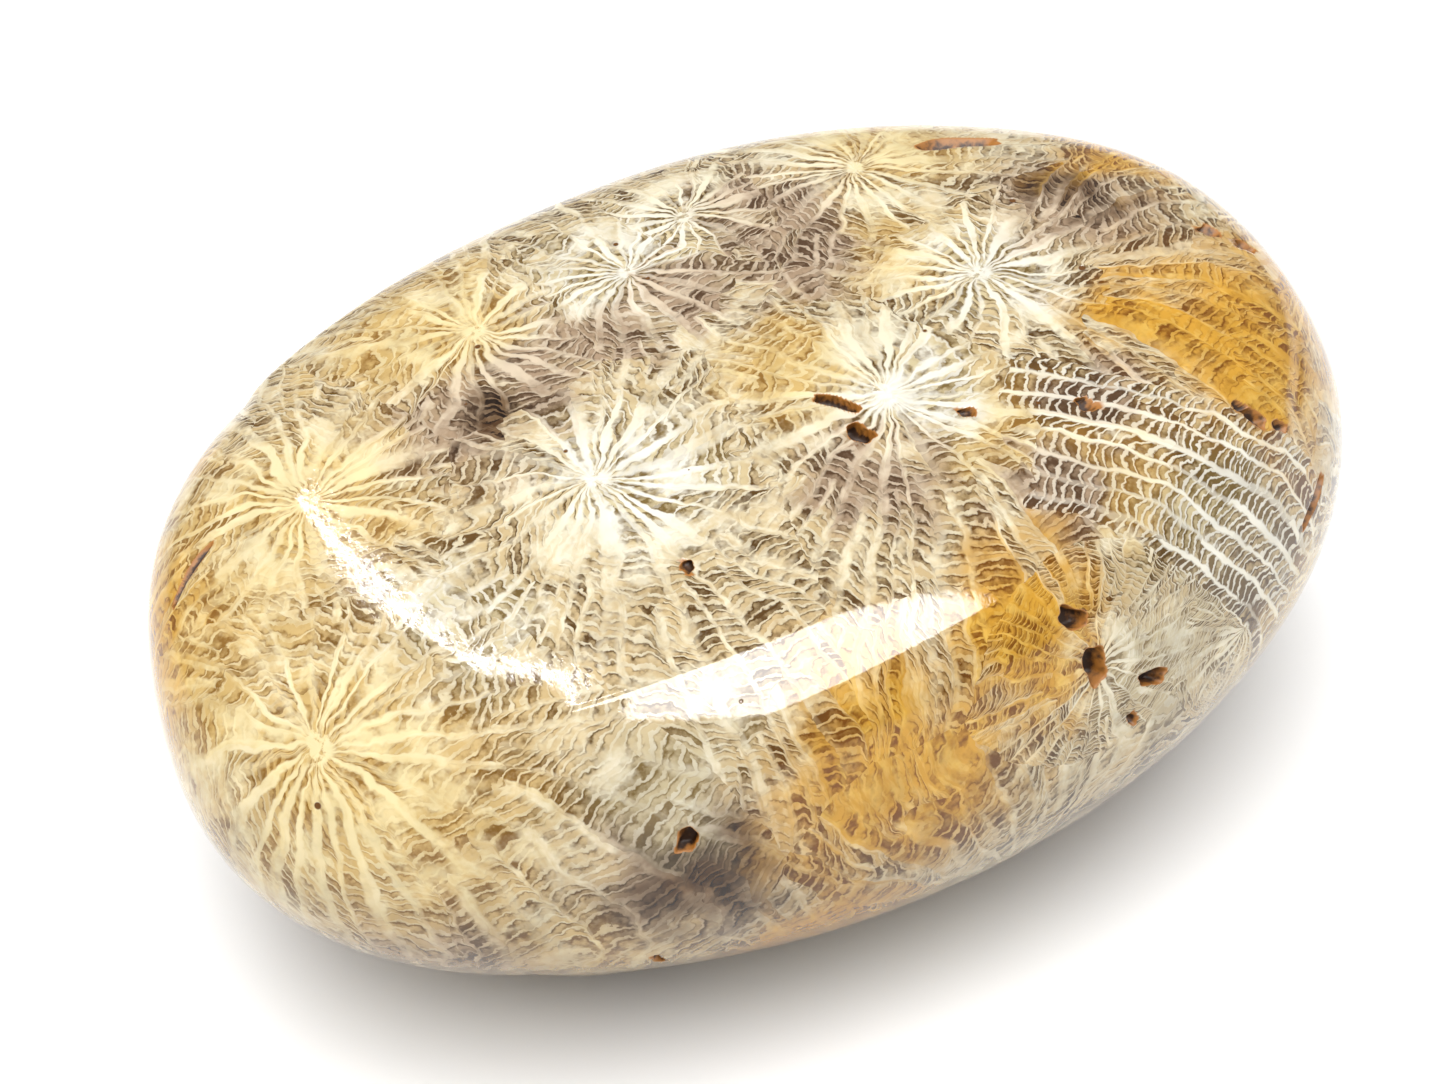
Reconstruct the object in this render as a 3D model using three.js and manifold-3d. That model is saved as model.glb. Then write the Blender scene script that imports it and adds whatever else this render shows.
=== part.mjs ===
// A fossil coral pebble: one piece of silicified coral, ground and polished to a rounded bun.
// It has a broad, gently domed crown, soft flats round its sides, a small flat underneath to rest on,
// and a few open pores where the coral's cells were never filled.
// Millimetres, +Z up. The origin is on the resting flat, under the middle of the stone's box.
import * as THREE from "three";
import { mergeVertices } from "three/addons/utils/BufferGeometryUtils.js";
import Module from "manifold-3d";

// The blank that the stone was ground from, measured from its middle
const HALF_LENGTH = 33.5;
const HALF_WIDTH = 20.5;
const CROWN_HEIGHT = 21.3;
const KEEL_DEPTH = 14.8;
const PLAN_ROUNDNESS = 2.12; // 2 is an ellipse, more is squarer
const SIDE_ROUNDNESS = 1.94;

// The flats ground into it: which way each faces, in degrees, and how far it lies from the middle
const FLATS = [
  { name: "crown", azimuth: -143, elevation: 83, reach: 13.3 },
  { name: "front keel", azimuth: -112, elevation: -48.6, reach: 21.0 },
  { name: "right keel", azimuth: -67, elevation: -34, reach: 21.8 },
  { name: "left keel", azimuth: -162, elevation: -41, reach: 28.2 },
  { name: "left end", azimuth: 159, elevation: -11, reach: 30.4 },
  { name: "back shoulder", azimuth: 56, elevation: 49, reach: 23.9 },
  { name: "right end", azimuth: -6, elevation: 26, reach: 30.5 },
  { name: "right cheek", azimuth: -43, elevation: -13.5, reach: 27.9 },
];
const FLATNESS = 0.85; // 1 is a plane, less bulges
const EDGE_SHARPNESS = 14; // how tightly a flat turns into the next
const REST_CUT = 0.6; // taken off the lowest point, so that the stone stands on a flat

// The open pores: where each is, as a direction from the middle, its size, and its turn about its mouth
const PORES = [
  { name: "top slit", azimuth: 27, elevation: 38, length: 3.4, width: 1.2, depth: 0.8, turn: -32 },
  { name: "star slit", azimuth: -85, elevation: 68, length: 2.1, width: 0.6, depth: 0.6, turn: -51 },
  { name: "star pore", azimuth: -87, elevation: 60, length: 1.2, width: 0.9, depth: 0.9, turn: -66 },
  { name: "ridge pore", azimuth: -46, elevation: 40, length: 0.8, width: 0.6, depth: 0.6, turn: -93 },
  { name: "end slot", azimuth: -37, elevation: 25, length: 1.2, width: 0.7, depth: 0.7, turn: -37 },
  { name: "end groove", azimuth: -35, elevation: 11, length: 2.8, width: 0.7, depth: 0.5, turn: -108 },
  { name: "far pore", azimuth: -8, elevation: 29, length: 0.9, width: 0.7, depth: 0.7, turn: -65 },
  { name: "far slot", azimuth: -10, elevation: 26, length: 1.0, width: 0.7, depth: 0.7, turn: -27 },
  { name: "bulge slot", azimuth: -76, elevation: 23, length: 1.5, width: 0.9, depth: 0.8, turn: -28 },
  { name: "bulge pore", azimuth: -74.5, elevation: 15.5, length: 1.9, width: 1.1, depth: 1.0, turn: -70 },
  { name: "cheek pore", azimuth: -66, elevation: 9, length: 1.6, width: 0.8, depth: 0.8, turn: 2 },
  { name: "left groove", azimuth: 171, elevation: 16, length: 3.4, width: 0.6, depth: 0.5, turn: -147 },
  { name: "front pore", azimuth: -130, elevation: 9.5, length: 1.2, width: 0.8, depth: 0.7, turn: -138 },
];

// Mesh fineness
const STONE_DETAIL = 18; // 20 x (detail + 1) squared triangles
const PORE_DETAIL = 2;
const CUTTER_SIZE = 100;

const wasm = await Module();
wasm.setup();

// A unit vector that faces the given azimuth and elevation.
function facing(azimuth, elevation) {
  const a = THREE.MathUtils.degToRad(azimuth);
  const e = THREE.MathUtils.degToRad(elevation);
  return new THREE.Vector3(Math.cos(a) * Math.cos(e), Math.sin(a) * Math.cos(e), Math.sin(e));
}

const flats = FLATS.map((flat) => ({ reach: flat.reach, normal: facing(flat.azimuth, flat.elevation) }));

// How far the surface lies from the stone's middle in a direction. Each flat is a soft upper limit.
function surfaceReach(direction) {
  const { x, y, z } = direction;
  const height = z > 0 ? CROWN_HEIGHT : KEEL_DEPTH;
  const plan =
    (Math.abs(x) / HALF_LENGTH) ** PLAN_ROUNDNESS + (Math.abs(y) / HALF_WIDTH) ** PLAN_ROUNDNESS;
  const blank =
    plan ** (SIDE_ROUNDNESS / PLAN_ROUNDNESS) + (Math.abs(z) / height) ** SIDE_ROUNDNESS;
  let closeness = blank ** (EDGE_SHARPNESS / SIDE_ROUNDNESS);
  for (const flat of flats) {
    const towards = Math.max(direction.dot(flat.normal), 0);
    closeness += (towards ** FLATNESS / flat.reach) ** EDGE_SHARPNESS;
  }
  return closeness ** (-1 / EDGE_SHARPNESS);
}

// A closed geometry as a solid that can be cut.
function solidOf(geometry) {
  const bare = geometry.clone();
  bare.deleteAttribute("normal");
  bare.deleteAttribute("uv");
  const merged = mergeVertices(bare, 1e-4);
  return new wasm.Manifold(
    new wasm.Mesh({
      numProp: 3,
      vertProperties: new Float32Array(merged.attributes.position.array),
      triVerts: new Uint32Array(merged.index.array),
    }),
  );
}

// A solid as a geometry that can be drawn.
function geometryOf(solid) {
  const { vertProperties, triVerts } = solid.getMesh();
  const geometry = new THREE.BufferGeometry();
  geometry.setAttribute("position", new THREE.BufferAttribute(vertProperties, 3));
  geometry.setIndex(new THREE.BufferAttribute(triVerts, 1));
  geometry.computeVertexNormals();
  return geometry;
}

// The ground stone before its pores: a sphere whose points are moved out to the surface.
function groundStone() {
  const sphere = new THREE.IcosahedronGeometry(1, STONE_DETAIL);
  const points = sphere.attributes.position;
  const direction = new THREE.Vector3();
  for (let i = 0; i < points.count; i++) {
    direction.fromBufferAttribute(points, i).normalize();
    direction.multiplyScalar(surfaceReach(direction));
    points.setXYZ(i, direction.x, direction.y, direction.z);
  }
  return sphere;
}

// A block whose top face is the plane of the resting flat.
function restCutter() {
  const block = new THREE.BoxGeometry(CUTTER_SIZE, CUTTER_SIZE, CUTTER_SIZE);
  return block.translate(0, 0, REST_CUT - KEEL_DEPTH - CUTTER_SIZE / 2);
}

// An egg-shaped cutter, half sunk in the surface, that leaves one open pore.
function poreCutter({ azimuth, elevation, length, width, depth, turn }) {
  const out = facing(azimuth, elevation);
  const upright = new THREE.Quaternion().setFromUnitVectors(new THREE.Vector3(0, 0, 1), out);
  const turned = new THREE.Quaternion().setFromAxisAngle(out, THREE.MathUtils.degToRad(turn));
  return new THREE.IcosahedronGeometry(1, PORE_DETAIL)
    .scale(length / 2, width / 2, depth)
    .applyQuaternion(turned.multiply(upright))
    .translate(...out.multiplyScalar(surfaceReach(out)).toArray());
}

// The whole stone, set down on its resting flat.
function pebbleGeometry() {
  let stone = solidOf(groundStone()).subtract(solidOf(restCutter()));
  for (const pore of PORES) {
    stone = stone.subtract(solidOf(poreCutter(pore)));
  }
  const geometry = geometryOf(stone);
  geometry.computeBoundingBox();
  const { min, max } = geometry.boundingBox;
  return geometry.translate(-(min.x + max.x) / 2, -(min.y + max.y) / 2, -min.z);
}

const polishedCoral = new THREE.MeshStandardMaterial({
  color: new THREE.Color(0.86, 0.78, 0.6),
  roughness: 0.15,
  metalness: 0,
});

const pebble = new THREE.Mesh(pebbleGeometry(), polishedCoral);
pebble.name = "pebble";

const part = new THREE.Group();
part.add(pebble);

export default part;
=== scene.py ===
import math

import bmesh
import bpy
import numpy as np
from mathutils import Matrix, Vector, noise
from mathutils.bvhtree import BVHTree


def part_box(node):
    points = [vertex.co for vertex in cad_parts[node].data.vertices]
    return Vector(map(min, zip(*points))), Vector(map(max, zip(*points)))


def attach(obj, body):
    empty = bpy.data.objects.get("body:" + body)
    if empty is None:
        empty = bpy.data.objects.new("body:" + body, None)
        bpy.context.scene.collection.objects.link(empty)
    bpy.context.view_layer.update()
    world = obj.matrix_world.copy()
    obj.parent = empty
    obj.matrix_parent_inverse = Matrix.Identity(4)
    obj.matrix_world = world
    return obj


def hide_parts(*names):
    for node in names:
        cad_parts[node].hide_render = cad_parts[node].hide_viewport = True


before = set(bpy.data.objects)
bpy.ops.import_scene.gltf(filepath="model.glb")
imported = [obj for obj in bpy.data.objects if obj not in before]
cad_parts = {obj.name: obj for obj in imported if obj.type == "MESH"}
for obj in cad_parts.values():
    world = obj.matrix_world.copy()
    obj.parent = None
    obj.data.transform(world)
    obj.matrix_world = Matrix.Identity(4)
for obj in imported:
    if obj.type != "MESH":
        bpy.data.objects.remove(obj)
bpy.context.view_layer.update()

# The pebble
# One lump of coral turned to stone, sawn, ground on a wheel and polished by hand to a glossy bun.
# Nothing is fixed to it: it lies on the small flat ground under it.

MM = 0.001
SIDE_QUADS = 116  # along each side of the six-sided net that is drawn onto the stone
EVEN_PASSES = 24  # rounds that take the solid's flat triangles out of the surface
HAND_WAVE = 0.03 * MM  # the slight unevenness that hand polishing leaves
HAND_WAVE_LENGTH = 8 * MM

low, high = (Vector(corner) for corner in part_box("pebble"))
middle = (low + high) / 2
half_size = np.array((high - low) / 2)


def six_sided_net(count):
    """A cube's six faces cut into count by count quads: points, quads and each corner's place on a map."""
    steps = np.tan(np.linspace(-math.pi / 4, math.pi / 4, count + 1))
    across, along = np.meshgrid(steps, steps, indexing="ij")
    shares = np.linspace(0.004, 0.996, count + 1)
    map_across, map_along = np.meshgrid(shares, shares, indexing="ij")
    numbers = np.arange((count + 1) ** 2).reshape(count + 1, count + 1)
    corners = [numbers[:-1, :-1], numbers[1:, :-1], numbers[1:, 1:], numbers[:-1, 1:]]
    side_quads = np.stack([corner.ravel() for corner in corners], axis=1)
    points, quads, places = [], [], []
    for side in range(6):
        axis, sign = side % 3, 1 if side < 3 else -1
        face = np.empty((numbers.size, 3))
        face[:, axis] = sign
        face[:, (axis + 1) % 3] = across.ravel()
        face[:, (axis + 2) % 3] = along.ravel() * sign
        place = np.stack([(side % 3 + map_across.ravel()) / 3, (side // 3 + map_along.ravel()) / 2], axis=1)
        points.append(face)
        places.append(place[side_quads].reshape(-1, 2))
        quads.append(side_quads + side * numbers.size)
    rounded = np.round(np.concatenate(points), 6)
    welded, first = np.unique(rounded, axis=0, return_inverse=True)
    return welded, first.reshape(-1)[np.concatenate(quads)], np.concatenate(places)


def cast_out(tree, directions):
    """Where rays from the stone's middle meet a surface."""
    return np.array([tree.ray_cast(middle, Vector(direction))[0] for direction in directions])


def evened(values, quads, passes):
    """Values at the net's points, each averaged with its neighbours again and again."""
    starts = quads.ravel()
    ends = np.roll(quads, -1, axis=1).ravel()
    neighbours = np.bincount(starts, minlength=len(values)) + np.bincount(ends, minlength=len(values))
    for _ in range(passes):
        before = np.bincount(starts, values[ends], len(values))
        after = np.bincount(ends, values[starts], len(values))
        values = (before + after) / neighbours
    return values


def smooth_step(value, start, end):
    """0 before start, 1 after end, and a soft turn between them."""
    share = np.clip((value - start) / (end - start), 0, 1)
    return share * share * (3 - 2 * share)


# The solid without its pores, as the skin that the net is drawn onto
skin = bmesh.new()
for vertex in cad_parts["pebble"].data.vertices:
    skin.verts.new(vertex.co)
bmesh.ops.convex_hull(skin, input=skin.verts)
solid_skin = BVHTree.FromBMesh(skin)
skin.free()

net, quads, map_places = six_sided_net(SIDE_QUADS)
directions = net / np.linalg.norm(net, axis=1, keepdims=True) * half_size
directions /= np.linalg.norm(directions, axis=1, keepdims=True)
reach = np.linalg.norm(cast_out(solid_skin, directions) - np.array(middle), axis=1)
reach = evened(reach, quads, EVEN_PASSES)
for index, direction in enumerate(directions):
    wave = noise.noise(Vector(direction * reach[index]) / HAND_WAVE_LENGTH)
    reach[index] += HAND_WAVE * wave
ground = np.array(middle) + directions * reach[:, None]
ground[:, 2] = np.maximum(ground[:, 2], low.z)
ground_skin = BVHTree.FromPolygons(ground.tolist(), quads.tolist())

# Open pores: cells that were never filled. Around and up are the direction from the blank's middle, in
# degrees, turn is how far the pore is turned in the surface, and its sizes are in mm.
BLANK_MIDDLE_HEIGHT = 14.2 * MM
PORES = [
    {"around": 27, "up": 38, "length": 3.4, "width": 0.85, "depth": 0.7, "turn": -32},  # top slit
    {"around": -85, "up": 68, "length": 2.1, "width": 0.6, "depth": 0.6, "turn": -51},  # star slit
    {"around": -87, "up": 60, "length": 1.2, "width": 0.9, "depth": 0.9, "turn": -66},  # star pore
    {"around": -58.5, "up": 51.5, "length": 0.7, "width": 0.5, "depth": 0.4, "turn": -10},  # star dot
    {"around": -46, "up": 40, "length": 0.8, "width": 0.6, "depth": 0.6, "turn": -93},  # ridge pore
    {"around": -37, "up": 25, "length": 1.2, "width": 0.7, "depth": 0.7, "turn": -37},  # end slot
    {"around": -37, "up": 27, "length": 0.7, "width": 0.5, "depth": 0.5, "turn": -35},  # end slot above
    {"around": -35.5, "up": 22, "length": 1.0, "width": 0.5, "depth": 0.5, "turn": -7},  # end slot below
    {"around": -35, "up": 11, "length": 2.8, "width": 0.7, "depth": 0.5, "turn": -108},  # end groove
    {"around": -8, "up": 29, "length": 0.9, "width": 0.7, "depth": 0.7, "turn": -65},  # far pore
    {"around": -10, "up": 26, "length": 1.0, "width": 0.7, "depth": 0.7, "turn": -27},  # far slot
    {"around": -76, "up": 23, "length": 1.5, "width": 0.9, "depth": 0.8, "turn": -28},  # bulge slot
    {"around": -74.5, "up": 15.5, "length": 1.9, "width": 1.1, "depth": 1.0, "turn": -70},  # bulge pore
    {"around": -66, "up": 9, "length": 1.6, "width": 0.8, "depth": 0.8, "turn": 2},  # cheek pore
    {"around": -69.5, "up": 4.5, "length": 0.9, "width": 0.5, "depth": 0.5, "turn": -45},  # cheek dot
    {"around": 171, "up": 16, "length": 2.8, "width": 0.36, "depth": 0.3, "turn": -147},  # left groove
    {"around": -130, "up": 9.5, "length": 1.2, "width": 0.8, "depth": 0.7, "turn": -138},  # front pore
    {"around": -133.5, "up": -10, "length": 1.2, "width": 0.4, "depth": 0.4, "turn": -122},  # low slit
    {"around": -136.5, "up": 38.5, "length": 0.6, "width": 0.5, "depth": 0.4, "turn": -82},  # crown dot
]
FINER_REACH = 0.85  # of the pore's length: how far round it the net is cut finer
FINER_CUTS = 2
GATHER_REACH = 0.8  # of the pore's half size: how far from its edge the net is drawn towards the edge
PORE_MOUTH = 1.04  # of the pore's half size: where its wall starts down
PORE_FLOOR = 0.8  # of the pore's half size: where its wall meets its floor
PORE_STAIN = 0.06  # how far the rust reaches past the mouth
PORE_SQUARENESS = 3.5
PORE_RAGGEDNESS = 0.16


def facing(azimuth, elevation):
    """The unit vector that points along an azimuth and elevation in degrees."""
    a, e = math.radians(azimuth), math.radians(elevation)
    return Vector((math.cos(a) * math.cos(e), math.sin(a) * math.cos(e), math.sin(e)))


def pore_axes(pore):
    """A pore's place on the skin, and its own long, cross and outward axes."""
    out = facing(pore["around"], pore["up"])
    blank_middle = Vector((middle.x, middle.y, BLANK_MIDDLE_HEIGHT))
    mouth = ground_skin.ray_cast(blank_middle, out)[0]
    spin = Vector((0, 0, 1)).rotation_difference(out)
    turn = math.radians(pore["turn"])
    long_axis = spin @ Vector((math.cos(turn), math.sin(turn), 0))
    return np.array(mouth), np.array(long_axis), np.cross(out, long_axis), np.array(out)


def pore_edge(pore, points):
    """How far points are from a pore's middle, as a share of the way to its ragged edge."""
    mouth, long_axis, cross_axis, out = pore_axes(pore)
    along = (points - mouth) @ long_axis / (pore["length"] / 2 * MM)
    across = (points - mouth) @ cross_axis / (pore["width"] / 2 * MM)
    share = (np.abs(along) ** PORE_SQUARENESS + np.abs(across) ** PORE_SQUARENESS) ** (1 / PORE_SQUARENESS)
    bearing = np.arctan2(across, along)
    ragged = np.sin(bearing * 3 + pore["turn"]) + np.sin(bearing * 5 + pore["around"])
    far_side = np.abs((points - mouth) @ out) > pore["length"] * MM
    return np.where(far_side, math.inf, share * (1 + PORE_RAGGEDNESS / 2 * ragged))


stone_mesh = bpy.data.meshes.new("coral_pebble")
stone_mesh.from_pydata(ground.tolist(), [], quads.tolist())
stone_mesh.uv_layers.new(name="OFBake").data.foreach_set("uv", map_places.ravel())

finer = bmesh.new()
finer.from_mesh(stone_mesh)
close_edges = set()
for pore in PORES:
    mouth = Vector(pore_axes(pore)[0])
    for face in finer.faces:
        if (face.calc_center_median() - mouth).length < FINER_REACH * pore["length"] * MM:
            close_edges.update(face.edges)
bmesh.ops.subdivide_edges(finer, edges=list(close_edges), cuts=FINER_CUTS, use_grid_fill=True)
finer.to_mesh(stone_mesh)
finer.free()

drawn = np.array([vertex.co for vertex in stone_mesh.vertices])
for pore in PORES:
    mouth = pore_axes(pore)[0]
    share = pore_edge(pore, drawn)
    beside = np.abs(share - 1) < GATHER_REACH
    gathered = 1 + (share - 1) * np.abs(share - 1) / GATHER_REACH
    scale = np.where(beside, gathered / np.where(beside, share, 1), 1)
    drawn = mouth + (drawn - mouth) * scale[:, None]
towards = drawn - np.array(middle)
surface = cast_out(ground_skin, towards / np.linalg.norm(towards, axis=1, keepdims=True))

openness = np.zeros(len(surface))
carved = surface.copy()
for pore in PORES:
    share = pore_edge(pore, surface)
    sunk = smooth_step(-share, -PORE_MOUTH, -PORE_FLOOR)
    carved -= (pore["depth"] * MM * sunk)[:, None] * pore_axes(pore)[3]
    openness = np.maximum(openness, (smooth_step(-share, -PORE_MOUTH - PORE_STAIN, -PORE_MOUTH) + sunk) / 2)

stone_mesh.vertices.foreach_set("co", carved.ravel())
stone_mesh.attributes.new("pore", "FLOAT", "POINT").data.foreach_set("value", openness)
stone_mesh.shade_smooth()
pebble = bpy.data.objects.new("coral_pebble", stone_mesh)
bpy.context.collection.objects.link(pebble)

# The coral inside the stone, drawn by its material as a solid that the polished surface cuts.
# Each corallite is a column: thin upright walls stand round its axis like spokes, and small
# arched plates cross between them like rungs. A cut across a column shows a star.

coral = bpy.data.materials.new("polished_fossil_coral")
coral.use_nodes = True
coral.node_tree.nodes.clear()


class Wire:
    """A value on its way through the material: sums, products and comparisons of wires make more of it."""

    def __init__(self, socket):
        self.socket = socket
        self.is_vector = socket.type in ("VECTOR", "RGBA")

    def __add__(self, other):
        return worked("ADD", self, other)

    def __sub__(self, other):
        return worked("SUBTRACT", self, other)

    def __mul__(self, other):
        return worked("MULTIPLY", self, other)

    def __truediv__(self, other):
        return worked("DIVIDE", self, other)

    def __lt__(self, other):
        return worked("LESS_THAN", self, other)


def node(kind, **settings):
    """A new node of the material, with its settings."""
    made = coral.node_tree.nodes.new(kind)
    for name, setting in settings.items():
        setattr(made, name, setting)
    return made


def feed(socket, value):
    """Puts a wire or a plain value on a node's socket."""
    if isinstance(value, Wire):
        coral.node_tree.links.new(value.socket, socket)
    elif socket.type == "VECTOR" and isinstance(value, (int, float)):
        socket.default_value = (value, value, value)
    elif socket.type == "RGBA":
        socket.default_value = (*value, 1)
    else:
        socket.default_value = value


def worked(operation, *values):
    """The result of one sum, on numbers or on vectors."""
    vectors = any(isinstance(value, Wire) and value.is_vector for value in values)
    made = node("ShaderNodeVectorMath" if vectors else "ShaderNodeMath", operation=operation)
    for socket, value in zip(made.inputs, values):
        feed(socket, value)
    return Wire(made.outputs["Value" if operation in ("LENGTH", "DISTANCE", "DOT_PRODUCT") else 0])


def soft_step(value, start, end):
    """0 before start, 1 after end and a soft turn between them, also where start is after end."""
    made = node("ShaderNodeMapRange", interpolation_type="SMOOTHSTEP")
    for name, given in {"Value": value, "From Min": start, "From Max": end}.items():
        feed(made.inputs[name], given)
    return Wire(made.outputs["Result"])


def blended(share, first, second, kind):
    """First where share is 0, second where it is 1. Kind is FLOAT, VECTOR or RGBA."""
    made = node("ShaderNodeMix", data_type=kind)
    feed(made.inputs[0], share)
    place = {"FLOAT": 2, "VECTOR": 4, "RGBA": 6}[kind]
    feed(made.inputs[place], first)
    feed(made.inputs[place + 1], second)
    return Wire(made.outputs[{"FLOAT": 0, "VECTOR": 1, "RGBA": 2}[kind]])


def joined(x, y, z):
    """Three numbers as one vector."""
    made = node("ShaderNodeCombineXYZ")
    for socket, value in zip(made.inputs, (x, y, z)):
        feed(socket, value)
    return Wire(made.outputs[0])


def parted(vector):
    """The three numbers of a vector."""
    made = node("ShaderNodeSeparateXYZ")
    feed(made.inputs[0], vector)
    return [Wire(output) for output in made.outputs]


def cloud(place, size, detail=2.0, roughness=0.5):
    """Soft noise with lumps of about the given size in mm, as a number and as a vector, both near 0.5."""
    made = node("ShaderNodeTexNoise", noise_dimensions="3D")
    for name, value in {"Vector": place, "Scale": 1 / size, "Detail": detail, "Roughness": roughness}.items():
        feed(made.inputs[name], value)
    return Wire(made.outputs[0]), Wire(made.outputs[1])


def lot(place):
    """Three numbers drawn by lot for a place: the same place always draws the same."""
    made = node("ShaderNodeTexWhiteNoise", noise_dimensions="3D")
    feed(made.inputs["Vector"], place)
    return parted(Wire(made.outputs["Color"]))


def paint(red, green, blue):
    """A colour read as 0 to 255, for a shader's socket."""
    shares = [level / 255 for level in (red, green, blue)]
    return tuple(share / 12.92 if share <= 0.04045 else ((share + 0.055) / 1.055) ** 2.4 for share in shares)


# Where each corallite comes out of the stone, and the point that its axis comes from, in mm
COLONY_ROOT = (-2, 0, -45)
STARS = [
    {"at": (-22.1, 4.5, 24.3), "root": COLONY_ROOT, "size": 1.0, "septa": 24},  # left star
    {"at": (-27.6, -8.0, 21.6), "root": COLONY_ROOT, "size": 1.15, "septa": 26},  # front left star
    {"at": (-11.0, 8.7, 26.4), "root": COLONY_ROOT, "size": 0.9, "septa": 23},  # upper left star
    {"at": (-3.1, 8.1, 27.5), "root": COLONY_ROOT, "size": 0.85, "septa": 21},  # upper middle star
    {"at": (-10.7, -3.2, 25.9), "root": COLONY_ROOT, "size": 1.05, "septa": 24},  # middle star
    {"at": (10.2, 8.8, 28.2), "root": COLONY_ROOT, "size": 0.95, "septa": 24},  # top star
    {"at": (11.0, -1.5, 27.9), "root": COLONY_ROOT, "size": 0.95, "septa": 24},  # right star
    {"at": (2.9, -5.8, 27.3), "root": COLONY_ROOT, "size": 1.05, "septa": 26},  # front middle star
    {"at": (1.4, 10.2, 27.8), "root": COLONY_ROOT, "size": 0.7, "septa": 20},  # upper small star
    {"at": (15.0, -18.2, 16.5), "root": (10, -3, 15), "size": 0.42, "septa": 18},  # cheek star
    {"at": (5.5, -19.5, 19.5), "root": (3, -4, 14), "size": 0.5, "septa": 20},  # bulge star
    {"at": (29.5, 3.0, 15.0), "root": (8, 1, 8), "size": 0.95, "septa": 24},  # right end star
    {"at": (19.0, 15.5, 17.0), "root": (8, -4, 6), "size": 0.9, "septa": 23},  # back right star
    {"at": (4.0, 20.0, 16.0), "root": (3, -4, 10), "size": 1.0, "septa": 24},  # back middle star
    {"at": (-13.0, 18.5, 15.0), "root": (-8, 0, 8), "size": 0.95, "septa": 23},  # back left star
    {"at": (-30.5, 6.0, 11.0), "root": (-10, 2, 10), "size": 0.9, "septa": 23},  # left end star
]
TURN = 2 * math.pi
DOUBLING_REACH = 6.0  # from its axis: past this, and past each double of it, a star has twice the walls
WALL_HALF_WIDTH = 0.12
SLOW_SWAY = 2.2  # how far the growing coral bent its walls over some millimetres, and within one
QUICK_SWAY = 0.5
PLATE_SPACING = 0.46
PLATE_SLOPE = (0.8, -0.6)  # how the plates climb: along the spoke, and along the axis

place = Wire(node("ShaderNodeTexCoord").outputs["Object"]) * (1 / MM)
slow_sway = cloud(place, 5.0)[1]
quick_sway = cloud(place, 0.9)[1]
slow_sway_x = parted(slow_sway)[0]
swayed = place + (slow_sway - 0.5) * SLOW_SWAY + (quick_sway - 0.5) * QUICK_SWAY


def seen_from(star):
    """The swayed place in a star's own axes, with Z along the corallite."""
    axis = Vector(star["at"]) - Vector(star["root"])
    made = node("ShaderNodeMapping", vector_type="TEXTURE")
    feed(made.inputs["Vector"], swayed)
    feed(made.inputs["Location"], star["at"])
    feed(made.inputs["Rotation"], tuple(axis.to_track_quat("Z", "Y").to_euler()))
    feed(made.inputs["Scale"], star["size"])
    return Wire(made.outputs[0])


# The nearest star at each place, how far its axis is, and how far the next star's axis is
spot = facts = nearest = second = None
for number, star in enumerate(STARS):
    local = seen_from(star)
    distance = worked("LENGTH", local * (1, 1, 0))
    own_facts = (star["septa"], number, 0)
    if spot is None:
        spot, nearest, second = local, distance, distance + 100
        facts = own_facts
        continue
    closer = distance < nearest
    second = worked("MINIMUM", second, worked("MAXIMUM", nearest, distance))
    nearest = worked("MINIMUM", nearest, distance)
    spot = blended(closer, spot, local, "VECTOR")
    facts = blended(closer, facts, own_facts, "VECTOR")

spot_x, spot_y, height = parted(spot)
septa, star_number, _ = parted(facts)
heading = worked("NORMALIZE", spot * (1, 1, 0))
drift = cloud(heading * 3 + joined(0, 0, star_number * 7), 1.0)[0]

# The upright walls, like spokes
bearing = worked("ARCTAN2", spot_y, spot_x) / TURN * septa + (drift - 0.5) * 1.6
ragged_reach = nearest * (drift + 0.5)
reach_share = worked("MAXIMUM", ragged_reach / DOUBLING_REACH, 0.5)
doublings = worked("FLOOR", worked("LOGARITHM", reach_share, 2.0) + 1)
multiple = worked("POWER", 2.0, doublings)
wall_count = septa * multiple

# Over the right shoulder the columns are cut along their length: their walls run side by side like ladders
LADDER_ALONG = (0.755, -0.402, -0.513)
LADDER_ACROSS = (0.635, 0.638, 0.435)
LADDER_OUT = (0.112, -0.633, 0.766)
LADDER_SPACING = 1.15
along = worked("DOT_PRODUCT", swayed, LADDER_ALONG)
across = worked("DOT_PRODUCT", swayed, LADDER_ACROSS)
LADDER_LOW_EDGE = (4.6, 5.6)  # across and along the field, where it fades in and out
LADDER_HIGH_EDGE = (14.0, 13.0)
LADDER_START = (-4.6, -3.2)
LADDER_END = (14.0, 12.0)
LADDER_DEPTH = (17.0, 18.0)  # the field stays near the surface
ladder = soft_step(across, *LADDER_LOW_EDGE) * soft_step(across, *LADDER_HIGH_EDGE)
ladder = ladder * soft_step(along + (slow_sway_x - 0.5) * 8, *LADDER_START) * soft_step(along, *LADDER_END)
ladder = ladder * soft_step(worked("DOT_PRODUCT", place, LADDER_OUT), *LADDER_DEPTH)
in_ladder = worked("GREATER_THAN", ladder, 0.5)
spoke = blended(in_ladder, bearing * multiple, across / LADDER_SPACING, "FLOAT")
wall_spacing = blended(in_ladder, nearest * TURN / wall_count, LADDER_SPACING, "FLOAT")
nearest_wall = worked("ROUND", spoke)
wall_lot = lot(joined(worked("FLOORED_MODULO", nearest_wall, wall_count), star_number, doublings))
grit = cloud(place, 0.4, 3.0)[0]
off_wall = worked("ABSOLUTE", spoke - nearest_wall) * wall_spacing + (grit - 0.5) * 0.2
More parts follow.
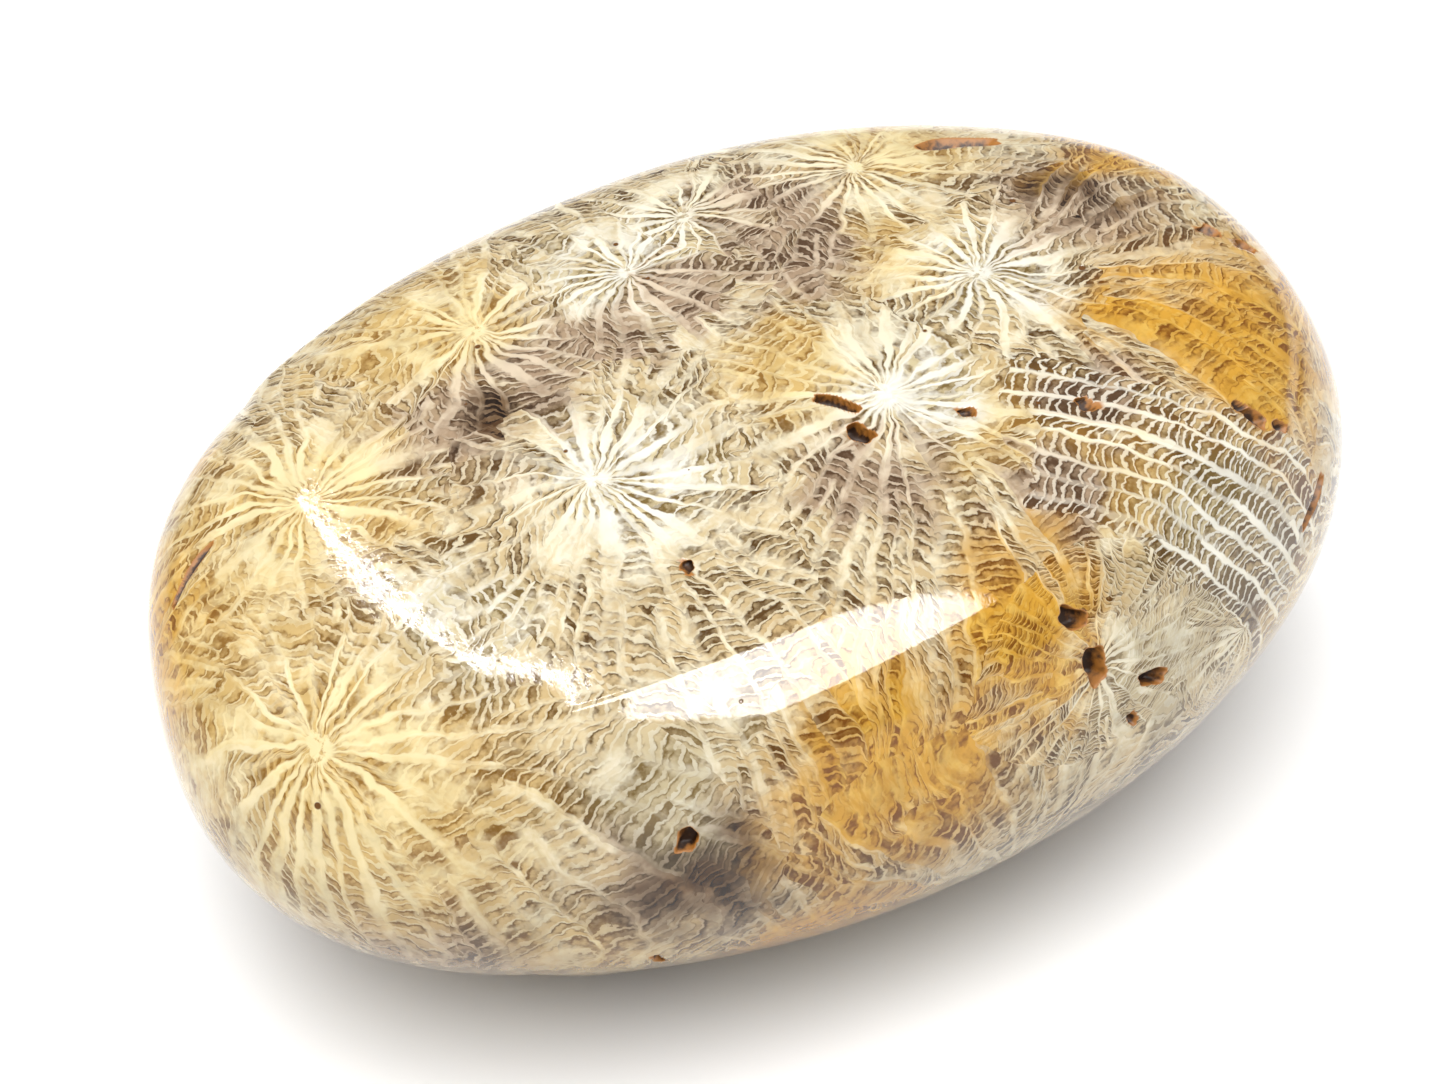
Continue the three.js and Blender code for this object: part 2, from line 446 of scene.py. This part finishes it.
thickness = worked("MINIMUM", wall_lot[0] * 0.12 + WALL_HALF_WIDTH, wall_spacing * 0.26)
thickness = thickness * (in_ladder * -0.25 + 1)
wall = soft_step(off_wall, thickness + 0.06, thickness - 0.06) * soft_step(wall_lot[1], -0.3, 0.4)
knot = soft_step(nearest, 0.9, 0.4) * soft_step(grit, 0.62, 0.5)
wall = worked("MAXIMUM", wall, knot)

streak = cloud(joined(spoke * 2.5, nearest * 0.5, star_number * 9), 1.0, 3.0)[0]
outside = soft_step(nearest + (drift - 0.5) * 5, 3.0, 5.5)

# The arched plates between them, like rungs
room = worked("FLOOR", spoke)
room_lot = lot(joined(worked("FLOORED_MODULO", room, wall_count), star_number, 50.0))
in_room = spoke - room - 0.5
arch = in_room * in_room * 1.8 + in_room * (room_lot[2] * 2.0 + 0.2)
star_climb = nearest * PLATE_SLOPE[0] + height * PLATE_SLOPE[1]
climb = blended(in_ladder, star_climb, along, "FLOAT") / PLATE_SPACING
rung = climb * (room_lot[0] * 0.3 + 0.85) + room_lot[1] * 10 - arch + (grit - 0.5) * 0.9
rung_floor = worked("FLOOR", rung)
rung_share = rung - rung_floor
cell_lot = lot(joined(worked("FLOORED_MODULO", room, wall_count), rung_floor, star_number))
plates_there = soft_step(nearest, 2.2, 3.6)
plate_edge = cell_lot[1] * 0.2 + 0.16
plate_face = soft_step(rung_share, plate_edge + 0.08, plate_edge - 0.08)
plate_back = soft_step(rung_share, 0.94, 1.0)
plate = (plate_face + plate_back) * plates_there

# Stains: soft patches in the stone, each kind with its wall colour, deep fill and pale fill
KINDS = {
    "cream": {"wall": paint(254, 244, 214), "deep": paint(92, 64, 28), "pale": paint(212, 187, 140)},
    "yellow": {"wall": paint(249, 230, 176), "deep": paint(150, 108, 46), "pale": paint(216, 182, 114)},
    "white": {"wall": paint(254, 250, 236), "deep": paint(126, 102, 56), "pale": paint(218, 202, 160)},
    "purple": {"wall": paint(232, 212, 184), "deep": paint(88, 63, 41), "pale": paint(176, 150, 122)},
    "dark": {"wall": paint(140, 110, 78), "deep": paint(28, 12, 2), "pale": paint(84, 56, 30)},
    "ochre": {"wall": paint(243, 198, 96), "deep": paint(132, 76, 4), "pale": paint(220, 164, 56)},
    "chalk": {"wall": paint(240, 232, 208), "deep": paint(132, 108, 64), "pale": paint(206, 190, 152)},
}
STAINS = [
    ("yellow", (-31.0, 3.0, 19.0), 12.0),
    ("yellow", (-27.0, -10.0, 19.0), 9.0),
    ("yellow", (-21.5, 4.0, 24.2), 6.5),
    ("yellow", (-12.5, 10.5, 25.5), 5.5),
    ("yellow", (8.0, 2.5, 28.0), 4.0),
    ("yellow", (0.0, -2.0, 27.5), 3.5),
    ("yellow", (6.0, -9.5, 27.0), 4.0),
    ("yellow", (9.0, -14.0, 26.0), 3.5),
    ("yellow", (20.0, -16.0, 13.0), 5.0),
    ("yellow", (13.0, 10.0, 28.0), 5.0),
    ("yellow", (-20.0, -18.0, 9.0), 6.0),
    ("white", (-2.5, 7.7, 27.5), 5.2),
    ("white", (11.5, -1.5, 27.9), 3.4),
    ("white", (-9.0, -3.6, 25.9), 4.6),
    ("white", (4.4, -6.6, 27.2), 3.4),
    ("white", (-20.0, -6.5, 23.8), 3.5),
    ("white", (15.0, -15.5, 23.0), 4.0),
    ("purple", (-14.6, 4.0, 25.7), 3.8),
    ("purple", (-10.0, 4.4, 26.5), 2.6),
    ("purple", (-6.6, 5.0, 27.1), 3.0),
    ("purple", (-1.5, 5.0, 27.6), 2.8),
    ("purple", (4.4, 4.5, 28.0), 4.0),
    ("purple", (5.0, 8.0, 28.0), 3.5),
    ("purple", (18.1, 0.1, 28.0), 5.0),
    ("purple", (-0.8, -9.8, 26.4), 3.0),
    ("purple", (6.0, -14.5, 26.0), 2.4),
    ("purple", (11.5, -10.5, 26.8), 2.2),
    ("purple", (-15.5, -18.6, 16.4), 5.0),
    ("purple", (-26.0, -13.5, 8.5), 6.0),
    ("dark", (-15.0, -18.6, 16.0), 4.2),
    ("dark", (-13.4, 3.6, 25.8), 1.8),
    ("dark", (19.0, 1.0, 28.0), 2.2),
    ("ochre", (20.5, -9.5, 25.5), 6.5),
    ("ochre", (16.5, -7.5, 27.0), 3.5),
    ("ochre", (25.0, -6.0, 23.0), 5.0),
    ("ochre", (2.1, -18.8, 22.3), 4.5),
    ("ochre", (-5.3, -19.8, 18.8), 6.5),
    ("ochre", (22.5, 4.4, 27.0), 4.0),
    ("ochre", (-31.0, 5.0, 18.0), 5.0),
    ("ochre", (-8.0, -19.0, 9.5), 4.5),
    ("ochre", (-24.0, 13.0, 17.0), 5.0),
    ("chalk", (-15.1, -17.0, 21.2), 3.6),
    ("chalk", (9.5, -19.3, 18.0), 4.0),
    ("yellow", (-16.0, 17.0, 12.0), 7.0),
    ("yellow", (8.0, 19.5, 9.0), 6.0),
    ("white", (4.5, 20.0, 17.0), 4.0),
    ("white", (-30.0, 8.0, 10.0), 3.5),
    ("purple", (12.5, 18.5, 15.0), 4.0),
    ("purple", (-7.0, 19.0, 17.0), 3.6),
    ("purple", (-24.0, 12.0, 9.0), 3.6),
    ("purple", (10.0, 3.0, 0.5), 6.0),
    ("dark", (11.5, 18.8, 13.5), 2.0),
    ("ochre", (-3.0, 20.0, 9.0), 5.0),
    ("ochre", (27.0, 9.0, 13.0), 5.0),
    ("ochre", (-16.0, 3.0, 3.5), 6.0),
    ("chalk", (20.0, 15.0, 9.0), 5.0),
    ("chalk", (-4.0, -5.0, 0.5), 6.0),
]
stain_place = place + (cloud(place, 3.5, 4.0, 0.6)[1] - 0.5) * 7
room_spread = (room_lot[2] - 0.5) * 2.5


def stained(kind):
    """How far a kind of stain has soaked in at each place."""
    soaked = None
    for stain, centre, radius in STAINS:
        if stain == kind:
            distance = worked("DISTANCE", stain_place, centre) + room_spread
            patch = soft_step(distance, radius * 1.4, radius * 0.3)
            soaked = patch if soaked is None else worked("MAXIMUM", soaked, patch)
    return soaked


wall_colour = KINDS["cream"]["wall"]
deep_colour = KINDS["cream"]["deep"]
pale_colour = KINDS["cream"]["pale"]
soaked = {kind: stained(kind) for kind in KINDS if kind != "cream"}
for kind, share in soaked.items():
    wall_colour = blended(share, wall_colour, KINDS[kind]["wall"], "RGBA")
    deep_colour = blended(share, deep_colour, KINDS[kind]["deep"], "RGBA")
    pale_colour = blended(share, pale_colour, KINDS[kind]["pale"], "RGBA")

# The walls: pale and clear near their star, broken and duller far from it, streaked where ochre soaked in
broken = outside * (ladder * -0.8 + 0.8) * soft_step(cloud(place, 1.3, 3.0, 0.6)[0], 0.42, 0.6)
wall = wall * (broken * -0.75 + 1)
streaked = soft_step(streak, 0.42, 0.7) * (soaked["ochre"] * 0.7 + 0.35)
dulled = outside * (ladder * -0.4 + 0.4) + streaked + (grit - 0.5) * 0.9
wall_tone = blended(soft_step(dulled, 0.0, 1.1), wall_colour, pale_colour, "RGBA")
whitened = ladder * (soaked["ochre"] * -0.65 + 0.65) * (soaked["yellow"] * -0.6 + 1)
wall_tone = blended(whitened, wall_tone, KINDS["white"]["wall"], "RGBA")

# The fill of each cell: dark under its plate and paler away from it, and here and there as pale as the walls
cell_tone = soft_step(rung_share, 0.2, 0.6) * 0.55 + cell_lot[0] * 0.6 + (room_lot[1] - 0.5) * 0.4
cell_tone = cell_tone + (grit - 0.5) * 1.2 - outside * 0.12 - ladder * 0.2
fill_colour = blended(soft_step(cell_tone, 0.25, 1.1), deep_colour, pale_colour, "RGBA")
kept_dark = soaked["purple"] * 0.14 + soaked["dark"] * 0.2 + ladder * 0.08
rim_distance = nearest + (drift - 0.5) * 4
rim = soft_step(rim_distance, 2.6, 3.8) * soft_step(rim_distance, 5.4, 4.2)
clearing = soft_step(cloud(place, 2.4, 4.0, 0.65)[0] - kept_dark + rim * 0.07, 0.48, 0.66)
fill_colour = blended(clearing * 0.8, fill_colour, wall_tone, "RGBA")
stone_colour = blended(worked("MAXIMUM", wall, plate * 0.8), fill_colour, wall_tone, "RGBA")

# The whole stone is mottled, and its sides are painted with shade: darker and browner than its crown, more so
# lower down
STONE_TONE = 0.5
SIDE_SHADE = (0.5, 0.43, 0.31)
mottle = cloud(place, 1.6, 4.0)[0]
stone_height = parted(place)[2]
# Painted shade: below the crown the colour is darkened and browned by height
lit_crown_share = soft_step(stone_height + (mottle - 0.5) * 6, 4.0, 20.0)
painted_side_shade = blended(lit_crown_share, SIDE_SHADE, (1, 1, 1), "RGBA")
stone_colour = stone_colour * painted_side_shade * (mottle * 0.28 + STONE_TONE)

# Specks: pores too small to feel, stained dark brown
SPECK_COLOUR = paint(92, 58, 24)
specks = node("ShaderNodeTexVoronoi")
feed(specks.inputs["Vector"], place)
feed(specks.inputs["Scale"], 1 / 2.2)
speck_lot = parted(Wire(specks.outputs["Color"]))[0]
speck_size = worked("MAXIMUM", speck_lot - 0.6, 0.0) * 0.22
speck = soft_step(Wire(specks.outputs["Distance"]) - speck_size, 0.01, -0.02)
stone_colour = blended(speck, stone_colour, SPECK_COLOUR, "RGBA")

# The open pores: rusty walls down to a dark floor
PORE_DEEP = paint(50, 28, 9)
PORE_RUST = paint(152, 98, 36)
pore_depth = Wire(node("ShaderNodeAttribute", attribute_name="pore").outputs["Fac"])
pore_open = soft_step(pore_depth, 0.05, 0.4)
pore_floor = soft_step(pore_depth + (grit - 0.5) * 1.2, 0.5, 0.95)
stone_colour = blended(pore_open, stone_colour, blended(pore_floor, PORE_RUST, PORE_DEEP, "RGBA"), "RGBA")

# The polish: glossy stone, dull inside the pores
STONE_IOR = 1.54
STONE_SHINE = 0.32
shader = node("ShaderNodeBsdfPrincipled")
feed(shader.inputs["Base Color"], stone_colour)
feed(shader.inputs["Roughness"], (grit * 0.06 + 0.03) + pore_open * 0.5)
shader.inputs["IOR"].default_value = STONE_IOR
shader.inputs["Specular IOR Level"].default_value = STONE_SHINE
bump = node("ShaderNodeBump")
relief = (grit * 0.004 - speck * 0.03) * MM
feed(bump.inputs["Height"], relief)
feed(bump.inputs["Distance"], 1.0)
coral.node_tree.links.new(bump.outputs["Normal"], shader.inputs["Normal"])
output = node("ShaderNodeOutputMaterial")
coral.node_tree.links.new(shader.outputs[0], output.inputs["Surface"])

pebble.data.materials.append(coral)
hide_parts("pebble")
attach(pebble, "root")

# The floor
# A smooth white sheet, many times wider than the stone, that fills the view.

FLOOR_HALF = 1.5
SHEET_WHITE = (0.94, 0.94, 0.94, 1)
SHEET_ROUGHNESS = 0.7

floor_mesh = bpy.data.meshes.new("floor")
floor_corners = [(-1, -1), (1, -1), (1, 1), (-1, 1)]
floor_points = [(x * FLOOR_HALF, y * FLOOR_HALF, low.z) for x, y in floor_corners]
floor_mesh.from_pydata(floor_points, [], [(0, 1, 2, 3)])
floor = bpy.data.objects.new("floor", floor_mesh)
bpy.context.collection.objects.link(floor)
sheet = bpy.data.materials.new("white_sheet")
sheet.use_nodes = True
sheet_shader = sheet.node_tree.nodes["Principled BSDF"]
sheet_shader.inputs["Base Color"].default_value = SHEET_WHITE
sheet_shader.inputs["Roughness"].default_value = SHEET_ROUGHNESS
floor_mesh.materials.append(sheet)

# The light
# A bright room: soft white light from all round and from a broad screen overhead. The polish mirrors
# a panel over the front and a thin tube over the back.

ROOM_LIGHT = 0.46
SCREEN = {"at": (-0.14, -0.12, 0.72), "width": 0.9, "length": 0.9, "power": 11.0, "mirrored": False}
PANEL = {"at": (0.07, -0.25, 0.6), "width": 0.27, "length": 0.56, "power": 9.5, "mirrored": True}
TUBE = {"at": (0.0, 0.5, 1.02), "width": 0.01, "length": 0.6, "power": 1.1, "mirrored": True}

world = bpy.data.worlds.new("room")
bpy.context.scene.world = world
world.use_nodes = True
room_light = world.node_tree.nodes["Background"]
room_light.inputs["Color"].default_value = (1, 1, 1, 1)
room_light.inputs["Strength"].default_value = ROOM_LIGHT

for name, light in {"screen": SCREEN, "panel": PANEL, "tube": TUBE}.items():
    lamp = bpy.data.lights.new(name, "AREA")
    lamp.shape = "RECTANGLE"
    lamp.size = light["width"]
    lamp.size_y = light["length"]
    lamp.energy = light["power"]
    lamp_object = bpy.data.objects.new(name, lamp)
    lamp_object.location = light["at"]
    lamp_object.rotation_euler = (Vector(light["at"]) - middle).to_track_quat("Z", "Y").to_euler()
    lamp_object.visible_glossy = light["mirrored"]
    lamp_object.visible_diffuse = not light["mirrored"]
    bpy.context.collection.objects.link(lamp_object)
bpy.context.scene.view_settings.view_transform = "Standard"

# The camera
# A long lens looking down at the crown from the front, a little to the left.

CAMERA_AZIMUTH = -31
CAMERA_ELEVATION = 41
CAMERA_DISTANCE = 200 * MM
CAMERA_SIDESTEP = -2.15 * MM
CAMERA_LIFT = 0.66 * MM
LENS = 102.5

turned = math.radians(CAMERA_AZIMUTH)
raised = math.radians(CAMERA_ELEVATION)
back = Vector((math.sin(turned) * math.cos(raised), -math.cos(turned) * math.cos(raised), math.sin(raised)))
right = Vector((math.cos(turned), math.sin(turned), 0))
camera_data = bpy.data.cameras.new("camera")
camera_data.lens = LENS
camera_data.sensor_width = 36
camera_data.clip_start = 0.01
camera = bpy.data.objects.new("camera", camera_data)
looked_at = Vector((middle.x, middle.y, BLANK_MIDDLE_HEIGHT))
aside = right * CAMERA_SIDESTEP + back.cross(right) * CAMERA_LIFT
camera.location = looked_at + aside + back * CAMERA_DISTANCE
camera.rotation_euler = back.to_track_quat("Z", "Y").to_euler()
bpy.context.collection.objects.link(camera)
bpy.context.scene.camera = camera
